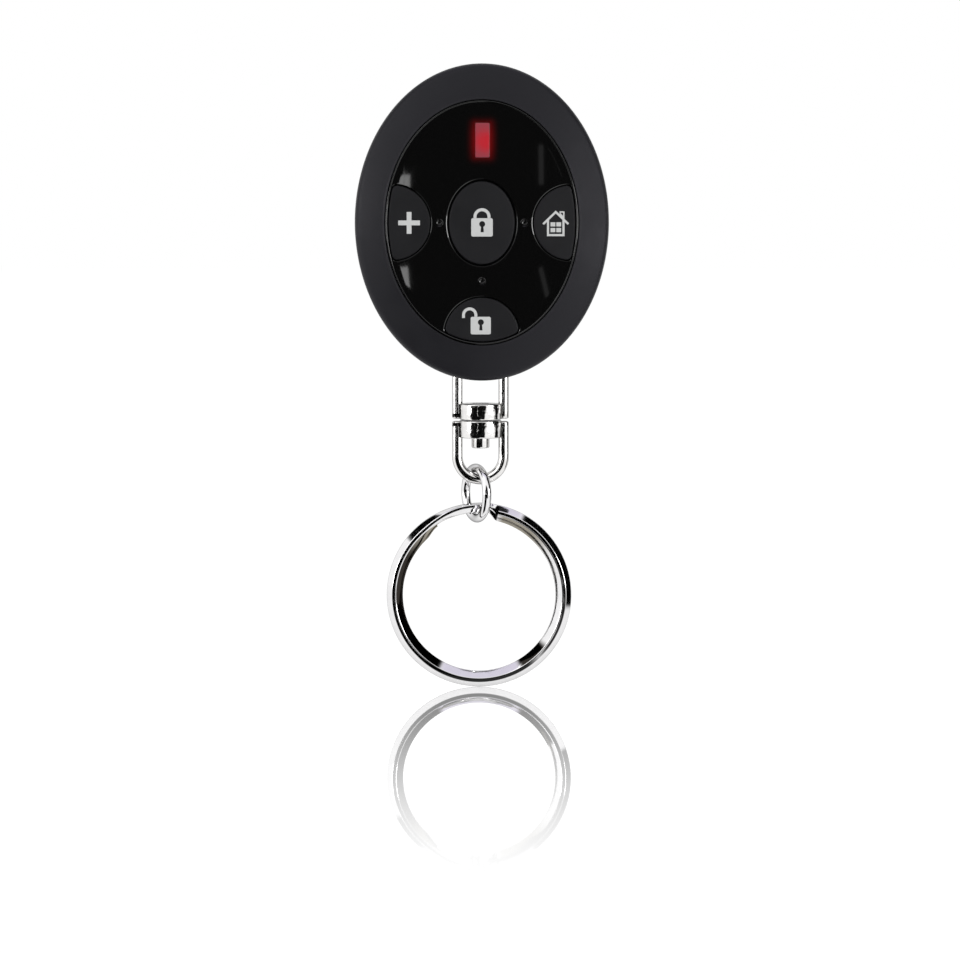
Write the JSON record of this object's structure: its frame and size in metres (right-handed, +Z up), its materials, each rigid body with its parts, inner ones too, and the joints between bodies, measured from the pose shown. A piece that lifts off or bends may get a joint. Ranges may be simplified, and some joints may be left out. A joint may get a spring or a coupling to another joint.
{
  "type": "alarm remote key fob",
  "caption": "Oval push-button alarm remote with a swivelling wire bow, a small jump ring and a split key ring.",
  "frame": {"origin": "centre of the fob's flat back face", "axes": "+X to the right as seen from the front, +Y out of the fob's back face, away from the buttons, +Z up along the fob, away from the key ring"},
  "size_m": [0.0408, 0.0124, 0.1008],
  "materials": {
    "cover_plastic": "fine satin texture",
    "panel_gloss": "polished",
    "button_plastic": "matte",
    "indicator_lens": "translucent red",
    "switch_case": "matte",
    "plunger_plastic": "matte",
    "board_green": "solder resist",
    "chip_black": "matte",
    "can_steel": "satin",
    "contact_steel": "satin",
    "cell_steel": "satin",
    "screw_steel": "zinc plated",
    "pin_steel": "ground",
    "swivel_nickel": "polished nickel",
    "ring_nickel": "polished nickel"
  },
  "bodies": {
    "fob": {"front_cover": "cover_plastic", "rear_cover": "cover_plastic", "front_panel": "panel_gloss", "indicator_window": "indicator_lens", "circuit_board": "board_green", "indicator_led": "indicator_lens", "controller_chip": "chip_black", "crystal": "can_steel", "negative_contact": "contact_steel", "coin_cell": "cell_steel", "positive_contact": "contact_steel", "case_screws": "screw_steel", "lanyard_pin": "pin_steel", "lock_switch": "switch_case", "aux_switch": "switch_case", "home_switch": "switch_case", "unlock_switch": "switch_case"},
    "lock_key": {"lock_button": "button_plastic", "lock_plunger": "plunger_plastic"},
    "aux_key": {"aux_button": "button_plastic", "aux_plunger": "plunger_plastic"},
    "home_key": {"home_button": "button_plastic", "home_plunger": "plunger_plastic"},
    "unlock_key": {"unlock_button": "button_plastic", "unlock_plunger": "plunger_plastic"},
    "upper_swivel": {"upper_bow": "swivel_nickel", "swivel_rivet": "swivel_nickel"},
    "lower_swivel": {"lower_bow": "swivel_nickel"},
    "link": {"jump_ring": "ring_nickel"},
    "key_holder": {"split_ring": "ring_nickel"}
  },
  "joints": [
    {"name": "lock_press", "type": "slide", "parent": "fob", "child": "lock_key", "axis": [0, 1, 0], "range_m": [0, 0.0004], "stiffness_N_per_m": 2500},
    {"name": "aux_press", "type": "slide", "parent": "fob", "child": "aux_key", "axis": [0, 1, 0], "range_m": [0, 0.0004], "stiffness_N_per_m": 2500},
    {"name": "home_press", "type": "slide", "parent": "fob", "child": "home_key", "axis": [0, 1, 0], "range_m": [0, 0.0004], "stiffness_N_per_m": 2500},
    {"name": "unlock_press", "type": "slide", "parent": "fob", "child": "unlock_key", "axis": [0, 1, 0], "range_m": [0, 0.0004], "stiffness_N_per_m": 2500},
    {"name": "bow_swing", "type": "hinge", "parent": "fob", "child": "upper_swivel", "pos_m": [0, -0.0055, -0.0232], "axis": [0, 1, 0], "range_deg": [-22, 22]},
    {"name": "swivel_turn", "type": "hinge", "parent": "upper_swivel", "child": "lower_swivel", "pos_m": [-0.00022, -0.0055, -0.0319], "axis": [0, 0, 1], "continuous": true},
    {"name": "link_swing", "type": "hinge", "parent": "lower_swivel", "child": "link", "pos_m": [-0.0009, -0.0055, -0.04151], "axis": [1, 0, 0], "range_deg": [-60, 60]},
    {"name": "ring_swing", "type": "hinge", "parent": "link", "child": "key_holder", "pos_m": [-0.0009, -0.00534, -0.04623], "axis": [1, 0, 0], "range_deg": [-60, 60]}
  ]
}
